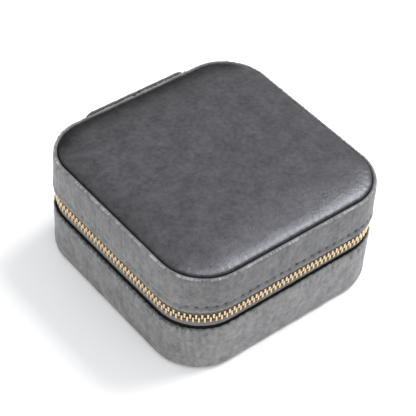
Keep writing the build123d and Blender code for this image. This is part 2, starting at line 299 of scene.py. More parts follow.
class Nodes:
    """A material's node tree, with short calls for what the materials below need."""

    def __init__(self, name):
        self.material = bpy.data.materials.new(name)
        self.material.use_nodes = True
        self.tree = self.material.node_tree
        self.shader = self.tree.nodes["Principled BSDF"]

    def add(self, kind, inputs=None, **settings):
        node = self.tree.nodes.new(kind)
        for key, value in settings.items():
            setattr(node, key, value)
        for key, value in (inputs or {}).items():
            if isinstance(value, bpy.types.NodeSocket):
                self.tree.links.new(value, node.inputs[key])
            else:
                node.inputs[key].default_value = value
        return node

    def set(self, **values):
        for key, value in values.items():
            socket = key.replace("_", " ").title().replace("Ior", "IOR")
            self.shader.inputs[socket].default_value = value

    def object_place(self):
        return self.add("ShaderNodeTexCoord").outputs["Object"]

    def cloth_place(self, stretch=(1, 1, 1)):
        place = self.add("ShaderNodeUVMap", uv_map="Cloth").outputs[0]
        return self.add("ShaderNodeMapping", {"Vector": place, "Scale": stretch}).outputs[0]

    def noise(self, place, size, detail, roughness=0.55):
        """Noise of 0 to 1, with features of about that size in metres."""
        inputs = {"Vector": place, "Scale": 1 / size, "Detail": detail, "Roughness": roughness}
        return self.add("ShaderNodeTexNoise", inputs).outputs["Fac"]

    def math(self, operation, a, b):
        return self.add("ShaderNodeMath", {0: a, 1: b}, operation=operation).outputs[0]

    def spread(self, noise):
        """Noise spread to the whole of 0 to 1."""
        inputs = {"Value": noise, "From Min": NOISE_LOW, "From Max": NOISE_HIGH}
        return self.add("ShaderNodeMapRange", inputs).outputs[0]

    def mapped(self, noise, low, high):
        """Noise mapped from 0..1 to low..high."""
        inputs = {"Value": noise, "To Min": low, "To Max": high}
        return self.add("ShaderNodeMapRange", inputs).outputs[0]

    def blend(self, factor, dark, light):
        inputs = {0: factor, 6: (*dark, 1), 7: (*light, 1)}
        return self.add("ShaderNodeMix", inputs, data_type="RGBA").outputs[2]

    def toned(self, colour):
        """The colour, lighter or darker by the mesh's tone, which holds painted shade and painted
        highlights: -1 is nearly black, and 0 no change.
        """
        tone = self.add("ShaderNodeAttribute", attribute_name="tone").outputs["Fac"]
        gain = self.math("MAXIMUM", self.math("ADD", tone, 1.0), DARKEST_TONE)
        scaled = {0: colour, "Scale": gain}
        return self.add("ShaderNodeVectorMath", scaled, operation="SCALE").outputs[0]

    def colour(self, socket):
        self.tree.links.new(socket, self.shader.inputs["Base Color"])

    def roughness(self, socket):
        self.tree.links.new(socket, self.shader.inputs["Roughness"])

    def finished(self, height, depth, strength, **surface):
        """The material, once height gives its relief and surface the shader's own values."""
        inputs = {"Height": height, "Distance": depth, "Strength": strength}
        raised = self.add("ShaderNodeBump", inputs).outputs[0]
        self.tree.links.new(raised, self.shader.inputs["Normal"])
        self.set(**surface)
        return self.material


def velvet(
    name, colour, contrast=1.0, streaks=0.0, gloss=0.2, roughness=0.5, relief=0.8, sheen=0.1
):
    """Pile velvet: a mottled pile, fine grain, a soft gloss and a cool sheen."""
    nodes = Nodes(name)
    place = nodes.object_place()
    mottle = nodes.noise(place, 1.9 * MM, 3.0, 0.62)
    clouds = nodes.noise(place, 5.5 * MM, 2.0, 0.5)
    grain = nodes.noise(place, 0.5 * MM, 2.0, 0.6)
    layers = [(mottle, 0.45), (clouds, 0.35), (grain, 0.30)]
    if streaks:
        pulled = nodes.noise(nodes.cloth_place((1, 0.14, 1)), 1.6 * MM, 3.0, 0.6)
        layers.append((pulled, streaks))
    shade = 0.5
    for layer, weight in layers:
        centred = nodes.math("SUBTRACT", nodes.spread(layer), 0.5)
        shade = nodes.math("ADD", nodes.math("MULTIPLY", centred, weight), shade)
    swing = 0.45 * contrast
    nodes.colour(nodes.toned(nodes.blend(shade, tinted(colour, 1 - swing), tinted(colour, 1 + swing))))
    nodes.set(sheen_weight=sheen, sheen_roughness=0.45, sheen_tint=SHEEN_TINT, specular_tint=GLOSS_TINT)
    pile = nodes.math("ADD", grain, nodes.math("MULTIPLY", mottle, 1.5))
    return nodes.finished(pile, PILE_DEPTH, relief, roughness=roughness, specular_ior_level=gloss)


def woven_tape(name, colour):
    """Zipper tape: fine slanting ribs and fuzz."""
    nodes = Nodes(name)
    place = nodes.cloth_place()
    ribs = {"Vector": place, "Scale": 1 / (2.4 * MM), "Distortion": 0.6, "Detail": 1.0}
    slant = nodes.add("ShaderNodeTexWave", ribs, wave_type="BANDS", bands_direction="DIAGONAL")
    fuzz = nodes.noise(place, 0.35 * MM, 2.0)
    shade = nodes.math("ADD", nodes.math("MULTIPLY", slant.outputs["Fac"], 0.5), fuzz)
    shade = nodes.math("MULTIPLY", shade, 0.7)
    nodes.colour(nodes.toned(nodes.blend(shade, tinted(colour, 0.6), tinted(colour, 1.25))))
    nodes.set(sheen_weight=0.15, sheen_roughness=0.5)
    return nodes.finished(shade, PILE_DEPTH, 0.7, roughness=0.85, specular_ior_level=0.25)


def plated_metal(name, colour, roughness):
    """Pale gold plate with faint polishing marks and dull spots."""
    nodes = Nodes(name)
    place = nodes.object_place()
    marks = nodes.noise(place, 0.5 * MM, 3.0, 0.6)
    dull = nodes.noise(place, 3.0 * MM, 2.0, 0.5)
    nodes.colour(nodes.blend(nodes.spread(marks), tinted(colour, 0.82), colour))
    nodes.roughness(nodes.mapped(dull, roughness - 0.06, roughness + 0.1))
    return nodes.finished(marks, 0.02 * MM, 0.4, metallic=0.9)


def thread(name, colour):
    """Sewing thread with a slanting twist."""
    nodes = Nodes(name)
    twist = {"Vector": nodes.object_place(), "Scale": 1 / (0.5 * MM), "Distortion": 1.0}
    ply = nodes.add("ShaderNodeTexWave", twist, bands_direction="DIAGONAL").outputs["Fac"]
    nodes.colour(nodes.blend(ply, tinted(colour, 0.7), tinted(colour, 1.2)))
    return nodes.finished(ply, 0.05 * MM, 0.6, roughness=0.7, specular_ior_level=0.3)


def moulded(name, colour):
    """Moulded plastic with a fine spark-eroded texture."""
    nodes = Nodes(name)
    place = nodes.object_place()
    grain = nodes.noise(place, 0.25 * MM, 2.0)
    flow = nodes.noise(place, 12 * MM, 2.0)
    nodes.colour(nodes.blend(flow, tinted(colour, 0.85), tinted(colour, 1.15)))
    return nodes.finished(grain, 0.03 * MM, 0.5, roughness=0.6, specular_ior_level=0.4)


def soft_foam(name, colour):
    """Foam with open pores."""
    nodes = Nodes(name)
    cells = {"Vector": nodes.object_place(), "Scale": 1 / (0.6 * MM)}
    pores = nodes.add("ShaderNodeTexVoronoi", cells).outputs["Distance"]
    nodes.colour(nodes.blend(pores, tinted(colour, 0.7), colour))
    return nodes.finished(pores, 0.15 * MM, 0.8, roughness=0.95, specular_ior_level=0.1)


def mirror_silver(name):
    """Silvered glass with a trace of haze."""
    nodes = Nodes(name)
    haze = nodes.noise(nodes.object_place(), 9 * MM, 3.0)
    nodes.roughness(nodes.mapped(haze, 0.01, 0.05))
    nodes.colour(nodes.blend(haze, (0.86, 0.88, 0.89), (0.90, 0.92, 0.93)))
    nodes.set(metallic=1.0)
    return nodes.material


def paper_tape(name):
    """Double-sided tape's paper, with long fibres."""
    nodes = Nodes(name)
    fibre = nodes.noise(nodes.object_place(), 1.0 * MM, 4.0)
    nodes.colour(nodes.blend(fibre, (0.70, 0.69, 0.66), (0.85, 0.84, 0.81)))
    return nodes.finished(fibre, 0.03 * MM, 0.5, roughness=0.8)


# One velvet covers the lid, the base and the top. The top's grey is painted far darker, as painted shade
# for how the top faces the light. The base's grey is a little lighter than the lid's, as painted light.
LID_GREY = (0.142, 0.1405, 0.1395)
BASE_LIT_GREY = (0.168, 0.166, 0.164)
TOP_SHADED_GREY = (0.0545, 0.0522, 0.0555)
LINING_GREY = (0.150, 0.150, 0.155)
TAPE_GREY = (0.150, 0.148, 0.145)
THREAD_GREY = (0.125, 0.123, 0.122)
SHELL_BLACK = (0.03, 0.03, 0.032)
FOAM_GREY = (0.42, 0.42, 0.43)
PALE_GOLD = (0.80, 0.62, 0.38)

LID_VELVET = velvet("lid_velvet", LID_GREY, contrast=1.2, streaks=0.04)
BASE_VELVET = velvet("base_velvet", BASE_LIT_GREY, contrast=1.2, streaks=0.04)
TOP_VELVET = velvet(
    "top_velvet", TOP_SHADED_GREY, contrast=1.05, gloss=0.04, roughness=0.36, relief=0.65, sheen=0.0
)
PANEL_VELVET = velvet("panel_velvet", LID_GREY)
LINING_VELVET = velvet("lining_velvet", LINING_GREY, contrast=0.6)
TAPE_CLOTH = woven_tape("tape_cloth", TAPE_GREY)
GOLD = plated_metal("pale_gold", PALE_GOLD, roughness=0.30)
THREAD = thread("grey_thread", THREAD_GREY)
BLACK_PLASTIC = moulded("shell_plastic", SHELL_BLACK)
FOAM = soft_foam("foam", FOAM_GREY)
MIRROR = mirror_silver("mirror_silver")
ADHESIVE = paper_tape("adhesive_tape")


def paint(piece, material):
    piece.data.materials.clear()
    piece.data.materials.append(material)
    return piece


def place_piece(piece, material, body, slot, *nodes):
    """Paints a piece, sets it on a body and hides the CAD nodes it stands for."""
    paint(piece, material)
    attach(piece, body)
    if nodes:
        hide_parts(*nodes)


# ---------------------------------------------------------------- velvet walls

STITCHES = 98
WALL_STEP = 0.37 * MM
LID_HEM_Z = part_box("lid_outer_cover")[0].z
LID_RIM_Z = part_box("lid_outer_cover")[1].z
LID_STITCH_Z = LID_HEM_Z + 2.2 * MM
BASE_HEM_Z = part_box("base_outer_cover")[1].z
BASE_FOOT_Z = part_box("base_outer_cover")[0].z
SEAM_HALF = HALF - 1.7 * MM


def hanging_sides(outward):
    """How far the wall faces left and how far it faces the front, from 0 to 1."""
    return smooth_step(-outward[..., 0], 0.5, 1.0), smooth_step(-outward[..., 1], 0.1, 0.9)


def chain_sag(outward):
    """How far the chain hangs below the split: a little on the front, and more on the left side."""
    left, front = hanging_sides(outward)
    return MM * (0.55 * left + 0.20 * front)


def edge_drop(s):
    """How far the base's top edge is pulled down: most in the middle of the left side."""
    shares, drops = (0, 0.09, 0.25, 0.35, 0.48, 0.58, 1), (0, 0.9, 1.25, 0.8, 0.5, 0, 0)
    return MM * np.interp(s / AROUND, shares, drops)


def hem_drop(outward, z):
    """How far the lid's lower edge hangs below its level on the front and on the left side."""
    left, front = hanging_sides(outward)
    near_edge = 1 - smooth_step(z, LID_HEM_Z + 0.5 * MM, LID_HEM_Z + 6 * MM)
    return MM * (0.95 * left + 0.50 * front) * near_edge


def needle_holes(s, sharpness):
    """1 at each needle hole round the case, and 0 between holes."""
    return (0.5 + 0.5 * np.cos(2 * math.pi * STITCHES * s / AROUND)) ** sharpness


def make_hem_stitches():
    """Thread that comes up between the needle holes of the lid's hem and dips into each."""
    stations = np.linspace(-0.5, 0.5, 7)
    lift = np.cos(stations * math.pi) ** 0.5
    angle = np.arange(6) * math.pi / 3
    bodies = []
    for i in range(STITCHES):
        s = (i + 0.5 + stations * 0.90) * AROUND / STITCHES
        skeleton, outward = wall_place(s)
        rings = []
        level = LID_STITCH_Z - hem_drop(outward, LID_STITCH_Z)
        for k in range(len(stations)):
            thick = (0.04 + 0.10 * lift[k]) * MM
            proud = 1 - 0.75 * smooth_step(-outward[k, 0], 0.4, 0.9)
            depth = HALF - 0.42 * MM + 0.34 * MM * lift[k] * proud + thick * np.cos(angle)
            flat = skeleton[k] + outward[k] * (depth - CORNER_CENTRE)[:, None]
            rings.append(np.column_stack([flat, level[k] + thick * np.sin(angle)]))
        bodies.append(loft(rings))
    place_piece(joined("lid_hem_stitches", bodies), THREAD, "lid", "velvet")


def make_lid_wall():
    """The lid's velvet band: a beaded hem, a stitch line, and a corded rim turned into the top seam."""
    low, high, stitch = LID_HEM_Z, LID_RIM_Z, LID_STITCH_Z
    shown = [
        *from_corner(TAPE_HALF, low, (0.15, 2.2), (0.15, 0.4)),
        *from_corner(HALF, low, (-0.55, -0.15), (0.20, -0.15), (0.50, 0.35), (0.25, 1.0)),
        *from_corner(HALF, stitch, (-0.02, -0.4), (-0.02, 0.4), (0.10, 1.8)),
        *from_corner(HALF, high, (0.12, -4.0), (0.03, -1.4), (-0.10, -0.45), (-0.38, 0.18)),
        *from_corner(HALF, high, (-0.85, 0.36), (-1.30, 0.24)),
        *from_corner(SEAM_HALF, high, (0.14, -0.10), (0.06, -1.25)),
        *from_corner(SHELL_HALF, high, (0.12, -1.55)),
    ]
    hidden = from_corner(SHELL_HALF, low, (0.12, 8.3)) + from_corner(TAPE_HALF, low, (0.15, 7.8))
    profile = np.vstack([smooth_line(shown, 0.33 * MM, 1), hidden])
    s = ring_steps(WALL_STEP)[:, None]
    half, z = along_ring(profile, s)
    face = smooth_step(half, HALF - 1.6 * MM, HALF - 0.6 * MM)
    outward = wall_place(s[:, 0])[1][:, None]
    front = hanging_sides(outward)[1]
    hole = needle_holes(s, 4.0) * (0.75 + 0.35 * ripple(s, 0.0, 40 * MM, 8 * MM, 10))
    hole *= 0.35 + 0.65 * front
    dent = bump(z, stitch, 0.70 * MM)
    cord = bump(z, high + 0.1 * MM, 0.6 * MM)
    uneven = ripple(s, z, 30 * MM, 7 * MM, 11)
    gather = ripple(s, z * 0.15, 5 * MM, 2.2 * MM, 12)
    lump = ripple(s, z, 4 * MM, 1.6 * MM, 13)
    half += face * MM * (
        -0.06 * dent - 0.50 * dent * hole - 0.10 * bump(z, low + 0.5 * MM, 1.1 * MM) * hole
        + 0.07 * uneven + 0.03 * gather + 0.06 * cord * lump
    )
    z += face * MM * (bump(z, low, 0.8 * MM) * 0.10 * hole + cord * 0.06 * lump)
    joint = bump(s, 1.5 * MM, 0.45 * MM) * smooth_step(z, high - 3 * MM, high)
    z -= 0.55 * MM * joint * face
    half -= 0.35 * MM * joint * face
    # The tone paints light and shade: painted highlights on the cord's crest and the hem's bead, and
    # painted shade in the stitch dents and the crease under the cord.
    patch = 0.6 + 0.5 * ripple(s, 0.0, 60 * MM, 12 * MM, 15)
    fleck = np.clip(patch + 0.8 * ripple(s, z, 9 * MM, 1.3 * MM, 14), 0, 1.7)
    ridge = bump(z, high + 0.05 * MM, 0.38 * MM) * smooth_step(half, HALF - 0.85 * MM, HALF - 0.45 * MM)
    stitch_shade = needle_holes(s, 1.1) * bump(z, stitch - 0.1 * MM, 0.42 * MM) * (0.2 + 0.8 * front)
    tone = face * (
        0.46 * bump(z, low + 0.30 * MM, 0.45 * MM) - dent * 0.30 * hole - 0.58 * stitch_shade
        + 0.95 * ridge * fleck - 0.12 * bump(z, high - 0.75 * MM, 0.4 * MM) * fleck
    )
    # Painted shade in the seam's groove and on the land before it, less on the far sides, and a painted
    # highlight on the cord at the back.
    land = 1 - smooth_step(half, HALF - 1.2 * MM, HALF - 0.75 * MM)
    groove = 1 - smooth_step(z, high - 0.9 * MM, high - 0.2 * MM)
    upper = smooth_step(z, high - 3 * MM, high - 2 * MM)
    far = np.maximum(smooth_step(outward[..., 0], 0.3, 0.9), smooth_step(outward[..., 1], 0.3, 0.9))
    tone -= upper * land * (0.30 + 0.50 * groove) * (1 - 0.7 * far)
    tone += 0.5 * ridge * smooth_step(outward[..., 1], 0.8, 0.98)
    # Painted shade on the band's turned-in parts and in the dip at its joint. The front is painted
    # darker, and the left side by the hem lighter.
    tone -= (1 - upper) * (1 - smooth_step(half, HALF - 0.9 * MM, HALF - 0.5 * MM)) * 0.8
    tone -= 0.6 * joint * face
    tone -= 0.08 * front
    left = smooth_step(-outward[..., 0], 0.3, 0.95)
    tone += 0.09 * left * (1 - smooth_step(z, low + 3 * MM, low + 11 * MM))
    z -= hem_drop(outward, z)
    piece = sweep("lid_wall_velvet", s[:, 0], half, z, tone=tone)
    place_piece(piece, LID_VELVET, "lid", "velvet", "lid_outer_cover")
    make_hem_stitches()


def make_base_wall():
    """The base's velvet band: a gathered top edge, and a rounded bottom edge turned under."""
    top, foot = BASE_HEM_Z, BASE_FOOT_Z
    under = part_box("bottom_panel")[1].x + 0.2 * MM
    fold = 2.0 * MM
    arc = [
        (HALF - fold + fold * math.cos(a), foot + fold - fold * math.sin(a))
        for a in np.linspace(math.pi / 2, 0, 7)
    ]
    shown = [
        *from_corner(under, foot, (0, 0.9), (0, 0.1)),
        *arc,
        *from_corner(HALF, top, (0.05, -6.0), (0.00, -3.0), (0.14, -1.0), (0.05, -0.20)),
        *from_corner(HALF, top, (-0.30, 0.25), (-0.66, -0.05), (-0.72, -2.0)),
        *from_corner(TAPE_HALF, top, (0.12, -2.6)),
    ]
    hidden = from_corner(TAPE_HALF, foot, (0.12, 15.6))
    hidden += from_corner(SHELL_HALF, foot, (0.12, 15.2), (0.12, 0.95))
    profile = np.vstack([smooth_line(shown, 0.40 * MM, 1), hidden])
    s = ring_steps(WALL_STEP)[:, None]
    half, z = along_ring(profile, s)
    face = smooth_step(half, HALF - 1.6 * MM, HALF - 0.6 * MM) * smooth_step(z, 0.3 * MM, 3 * MM)
    pucker = ripple(s, z * 0.1, 5.5 * MM, 2.4 * MM, 21)
    side = wall_place(s[:, 0])[1][:, None]
    front, left = (smooth_step(-side[..., k], 0.3, 0.95) for k in (1, 0))
    patch = 0.6 + 0.7 * bump(s, 78 * MM, 30 * MM) + 0.8 * bump(s, 206 * MM, 16 * MM)
    pinch = np.clip(ripple(s, z * 0.3, 7 * MM, 2.2 * MM, 22) - 0.5, 0, 2) * patch
    lip = smooth_step(z, top - 1.6 * MM, top - 0.2 * MM)
    gathers = bump(z, top - 2.4 * MM, 1.5 * MM)
    uneven = ripple(s, z, 36 * MM, 8 * MM, 23)
    corner = np.abs(wall_place(s)[1]).min(-1)
    wrinkle = ripple(s, z * 0.2, 5 * MM, 2.0 * MM, 24) * smooth_step(corner, 0.1, 0.5)
    half += face * MM * (
        0.08 * lip * pucker - 0.24 * gathers * pinch + 0.09 * uneven + 0.03 * pucker + 0.10 * wrinkle
    )
    ragged = ripple(s, 0.0, 3 * MM, 1.2 * MM, 25)
    # A painted shadow under the top edge, reaching down to a ragged line, deepest on the left.
    shadow_reach = np.clip(1.0 + 0.9 * ragged + 0.3 * pucker, 0, 2.6) * MM * (0.25 + 0.75 * left)
    painted_edge_shadow = smooth_step(z, top - 0.45 * MM - shadow_reach, top - 0.10 * MM - shadow_reach)
    z += face * lip * MM * (0.20 * pucker - 0.16 * pinch + 0.06 * ragged)
    # The tone paints light and shade: lighter and darker along the puckers and wrinkles, and painted
    # shade in the pinched gathers and along the top edge.
    tone = face * (
        0.07 * lip * pucker - 0.50 * gathers * pinch + 0.08 * wrinkle * smooth_step(z, 4 * MM, 10 * MM)
        - 0.08 * smooth_step(z, top - 0.8 * MM, top)
    )
    # Painted shade on the lip's inner side.
    lip_inside = smooth_step(HALF - 0.40 * MM - half, 0, 0.25 * MM) * smooth_step(z, 4 * MM, 6 * MM)
    tone -= 0.95 * lip_inside
    # The front is painted lighter and the left side darker, most towards the bottom. Then come the
    # painted shadow under the top edge and painted shade below the top on the front.
    tone += 0.13 * front - left * (0.05 + 0.05 * (1 - smooth_step(z, 7 * MM, 15 * MM)))
    tone -= 0.55 * face * painted_edge_shadow * (0.2 + 0.8 * left)
    tone -= 0.10 * face * front * smooth_step(z, top - 5 * MM, top - 2 * MM)
    z -= face * edge_drop(s) * smooth_step(z, top - 6 * MM, top - 1 * MM)
    piece = sweep("base_wall_velvet", s[:, 0], half, z, tone=tone)
    place_piece(piece, BASE_VELVET, "base", "velvet", "base_outer_cover")


# ---------------------------------------------------------------- flat and padded plates

SIM_FRAMES = 12
BLEND_REACH = 3.5 * MM
BLEND_BATCH = 4000


def plate(name, half, top, under_z, depths, step, tone=None, inner_rings=24):
    """A rounded-square plate with rings at those depths inside its edge, and more up to its middle.

    top gives the height from x, y and the depth, and tone the shade from s and the depth.
    """
    s = ring_steps(step)
    skeleton, outward = wall_place(s)
    rings = [skeleton + outward * (half - d - CORNER_CENTRE) for d in depths]
    rings += [rings[-1] * t for t in np.linspace(1, 0.03, inner_rings + 1)[1:]]
    flat = np.stack(rings)
    depth = edge_distance(flat[..., 0], flat[..., 1], half)
    upper = np.dstack([flat, top(flat[..., 0], flat[..., 1], depth)])
    lower_rings = flat[[len(depths), len(depths) // 2, 0]]
    lower = np.dstack([lower_rings, np.full(lower_rings.shape[:2], under_z)])
    points = np.concatenate([lower, upper])
    index = np.arange(len(points) * len(s)).reshape(len(points), len(s))
    ring = np.hstack([index, index[:, :1]])
    faces = quad_grid(ring) + [index[-1].tolist(), index[0, ::-1].tolist()]
    tones = None
    if tone is not None:
        side = np.repeat(tone(s[None, :], depth[:1]), len(lower), 0)
        tones = np.concatenate([side, tone(s[None, :], depth)])
    return make_piece(name, points.reshape(-1, 3), faces, tones)


def simulate_swelling(piece, held, pressure, limit):
    """Each point's place and its move in a short cloth simulation that blows the piece up.

    The held points stay where they are, and no move is longer than limit.
    """
    group = piece.vertex_groups.new(name="held")
    group.add([int(i) for i in held], 1.0, "REPLACE")
    cloth = piece.modifiers.new("cloth", "CLOTH")
    settings = cloth.settings
    settings.vertex_group_mass = "held"
    settings.use_pressure = True
    settings.uniform_pressure_force = pressure
    settings.tension_stiffness = settings.compression_stiffness = 25
    settings.shear_stiffness = 10
    settings.bending_stiffness = 0.3
    settings.effector_weights.gravity = 0
    cloth.point_cache.frame_start = 1
    cloth.point_cache.frame_end = SIM_FRAMES
    for step in range(1, SIM_FRAMES + 1):
        bpy.context.scene.frame_set(step)
    solved = piece.evaluated_get(bpy.context.evaluated_depsgraph_get()).to_mesh()
    start = vertex_places(piece.data)
    move = vertex_places(solved) - start
    piece.modifiers.remove(cloth)
    bpy.context.scene.frame_set(1)
    length = np.linalg.norm(move, axis=1, keepdims=True)
    move *= np.minimum(1, limit / np.maximum(length, 1e-9))
    return start, move


def carried_over(rough, moves, places):
    """A rough model's moves, blended onto the finer points that lie between its own."""
    carried = np.empty((len(places), moves.shape[1]))
    for begin in range(0, len(places), BLEND_BATCH):
        batch = slice(begin, begin + BLEND_BATCH)
        gap = ((places[batch, None] - rough[None]) ** 2).sum(-1)
        weight = np.exp(-gap / (2 * BLEND_REACH**2))
        carried[batch] = weight @ moves / weight.sum(1, keepdims=True)
    return carried


def vertex_places(mesh):
    places = np.empty(len(mesh.vertices) * 3, np.float32)
    mesh.vertices.foreach_get("co", places)
    return places.reshape(-1, 3).astype(float)


def set_places(mesh, places):
    mesh.vertices.foreach_set("co", places.astype(np.float32).ravel())
    mesh.update()


TOP_FOOT_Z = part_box("lid_top_cover")[0].z
SEAM_Z = LID_RIM_Z - 0.2 * MM
TOP_TUCK = 0.7 * MM
TOP_DROP = 2.0 * MM
TOP_ROLL = 3.4 * MM
TOP_HALF = SEAM_HALF - 0.12 * MM
TOP_UNDER_Z = TOP_FOOT_Z - 0.3 * MM
TOP_PRESSURE = 3.0
TOP_SWELLING = 0.35 * MM
FOAM_GAP = 1.0 * MM


def pillow_z(depth):
    """The top panel's height: a steep tuck up out of the seam, then a long soft roll."""
    tuck = TOP_TUCK * (1 - np.exp(-depth / (0.22 * MM)))
    return SEAM_Z + tuck + TOP_DROP * (1 - np.exp(-depth / TOP_ROLL))


def make_lid_top():
    """The top panel: velvet pulled over foam, and tucked into the groove inside the lid's rim.

    A rough copy is blown up in a simulation, and its swelling is carried over to the fine panel.
    """

    def top(x, y, depth):
        s = np.arange(x.shape[1]) / x.shape[1] * AROUND
        pull = np.exp(-depth / (1.4 * MM))
        hole = needle_holes(s, 2.0)[None, :]
        gather = ripple(s, 0.0, 6 * MM, 2.4 * MM, 31)[None, :]
        uneven = ripple(x + 0.3 * y, 0.8 * y, 50 * MM, 16 * MM, 32)
        return pillow_z(depth) + MM * (0.05 * uneven - pull * (0.10 * hole - 0.06 * gather))

    def tone(s, depth):
        # Painted shade: the roll's edge is darker at the back and on the left, and the velvet darker
        # where it tucks into the groove, less so on the far sides. It is also lighter and darker along
        # the gathers at the seam.
        gather = ripple(s, 0.0, 5 * MM, 1.8 * MM, 33)
        outward = wall_place(s)[1]
        back = smooth_step(outward[..., 1], 0.25, 0.80)
        left = smooth_step(-outward[..., 0], 0.40, 0.95)
        left = left * (1 - smooth_step(s, 0.255 * AROUND, 0.32 * AROUND))
        edge = np.exp(-((np.maximum(depth, 0) / (6.5 * MM)) ** 1.5))
        painted_edge_shade = 1 - edge * (0.96 * back + 0.25 * left * (1 - back))
        far = np.maximum(smooth_step(outward[..., 0], 0.3, 0.9), back)
        tucked = 1 - 0.70 * (1 - 0.8 * far) * np.exp(-depth / (0.25 * MM))
        return painted_edge_shade * tucked * (1 + 0.05 * np.exp(-depth / (2 * MM)) * gather) - 1

    depths = np.concatenate(
        [np.linspace(0, 1.2, 9), np.linspace(1.5, 6, 13), np.linspace(6.6, 17.4, 16)]
    ) * MM
    piece = plate("lid_top_velvet", TOP_HALF, top, TOP_UNDER_Z, depths, 0.55 * MM, tone, inner_rings=40)
    rough_depths = np.array([0, 1.2, 3, 6, 10, 14, 17.4]) * MM
    rough = plate("lid_top_rough", TOP_HALF, top, TOP_UNDER_Z, rough_depths, 4.0 * MM, inner_rings=9)
    places = vertex_places(rough.data)
    sewn = edge_distance(places[:, 0], places[:, 1], TOP_HALF) < 1.3 * MM
    held = np.flatnonzero(sewn | (places[:, 2] < TOP_FOOT_Z))
    start, move = simulate_swelling(rough, held, TOP_PRESSURE, TOP_SWELLING)
    bpy.data.objects.remove(rough)
    upper = start[:, 2] > TOP_FOOT_Z
    fine = vertex_places(piece.data)
    shown = fine[:, 2] > TOP_FOOT_Z
    inside = edge_distance(fine[shown, 0], fine[shown, 1], TOP_HALF)
    swell = carried_over(start[upper, :2], move[upper, 2:], fine[shown, :2])
    fine[shown, 2:] += swell * smooth_step(inside, 0.4 * MM, 4 * MM)[:, None]
    set_places(piece.data, fine)
    place_piece(piece, TOP_VELVET, "lid", "velvet", "lid_top_cover")


def make_foam_pad():
    """The foam that gives the top its pillow shape, just under the velvet."""
    floor_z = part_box("lid_foam_pad")[0].z

    def top(x, y, depth):
        rise = pillow_z(depth + FOAM_GAP) - FOAM_GAP - TOP_FOOT_Z
        return TOP_FOOT_Z + rise * smooth_step(depth, -0.5 * MM, 0.8 * MM)

    depths = np.array([0, 0.4, 0.9, 1.6, 2.6, 4, 6, 9, 13]) * MM
    half, under_z = SEAM_HALF - 1.1 * MM, TOP_FOOT_Z - 0.1 * MM
    piece = plate("lid_foam_pillow", half, top, under_z, depths, 2 * MM, inner_rings=12)
    bottom = vertex_places(piece.data)
    low_middle = (bottom[:, 2] < TOP_FOOT_Z) & (np.abs(bottom[:, :2]).max(1) < 40 * MM)
    bottom[low_middle, 2] = floor_z + 0.05 * MM
    set_places(piece.data, bottom)
    place_piece(piece, FOAM, "lid", "foam", "lid_foam_pad")


def make_bottom_panel():
    """The board under the case, covered in velvet: flat where it stands, with a soft edge."""
    half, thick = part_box("bottom_panel")[1].x, 1.0 * MM

    def top(x, y, depth):
        return -thick + thick * 0.62 * np.exp(-depth / (0.45 * MM)) * (depth < 3 * MM)

    depths = np.concatenate([np.linspace(0, 1.6, 9), [2.2, 3.0, 5.0, 9.0, 13.0]]) * MM
    piece = plate("bottom_board_velvet", half, top, 0.0, depths, 0.9 * MM, inner_rings=30)
    places = vertex_places(piece.data)
    places[:, 2] = np.where(places[:, 2] < -0.999 * thick, 0, places[:, 2] + thick)
    set_places(piece.data, places)
    place_piece(piece, PANEL_VELVET, "base", "bottom_board", "bottom_panel")


# ---------------------------------------------------------------- zipper

ROW_BODY = {"lower": "base", "upper": "lid"}
TOOTH_PITCH = 2.1 * MM
FIRST_TOOTH = 27.0 * MM
LAST_TOOTH_Y = 24.5 * MM
TAPE_END = 20.0 * MM
TAPE_STATIONS = 660
TOOTH_WIDTH = 0.84 * MM
TOOTH_WAIST = 0.22
STOP_WIDTH = 1.2 * MM


def make_tape(row):
    """One zipper tape: a strip beside the teeth. The lower one is also folded behind the base's edge."""
    upper = row == "upper"
    side = 1 if upper else -1
    fold = [(0.05, 3.9), (-0.3, 4.3), (-1.15, 4.6), (-1.2, 5.2), (-0.7, 5.8), (0.0, 6.2)]
    centre_line = [(0.0, 1.0), *([] if upper else fold), (0.0, 12.3)]
    line = smooth_line(np.array(centre_line) * MM, 0.2 * MM, 2)
    length = float(np.linalg.norm(np.diff(line, axis=0), axis=1).sum())
    at = np.linspace(0, length, len(line))
    reach = (TAPE_HALF - SHELL_HALF) * 0.45 + 0.28 * MM * bump(at, 0.25 * MM, 0.35 * MM)
    offset, z_line = line[:, 0], SPLIT_Z + side * line[:, 1]
    outer = np.stack([TRACK_HALF + offset + reach, z_line], -1)
    inner = np.stack([TRACK_HALF + offset - reach, z_line], -1)
    profile = np.vstack([outer, inner[::-1]])
    s = np.linspace(TAPE_END, AROUND - TAPE_END, TAPE_STATIONS)[:, None]
    half, z = along_ring(profile, s)
    half += 0.03 * MM * ripple(s, z, 12 * MM, 3 * MM, 41 + upper)
    beyond = np.abs(z - SPLIT_Z)
    sag = chain_sag(wall_place(s)[1])
    towards_edge = 0 if upper else smooth_step(beyond, 1.2 * MM, 3.8 * MM)
    drop = sag + (edge_drop(s) - sag) * towards_edge
    z -= drop * (1 - smooth_step(beyond, 6.5 * MM, 11 * MM))
    # The tone is painted shade: dark beside the teeth, a painted shadow of the lid's hem on the upper
    # tape, and nearly black where the lower tape folds behind the base's edge.
    tone = -0.55 * (1 - smooth_step(beyond, 1.6 * MM, 2.3 * MM))
    if upper:
        tone -= 0.4 * smooth_step(beyond, 2.2 * MM, 3.4 * MM)
    else:
        tone -= 0.95 * smooth_step(beyond, 4.15 * MM, 4.45 * MM)
    piece = sweep(f"zipper_tape_{row}_woven", s[:, 0], half, z, closed=False, tone=tone)
    place_piece(piece, TAPE_CLOTH, ROW_BODY[row], "zipper_tape", f"zipper_tape_{row}")


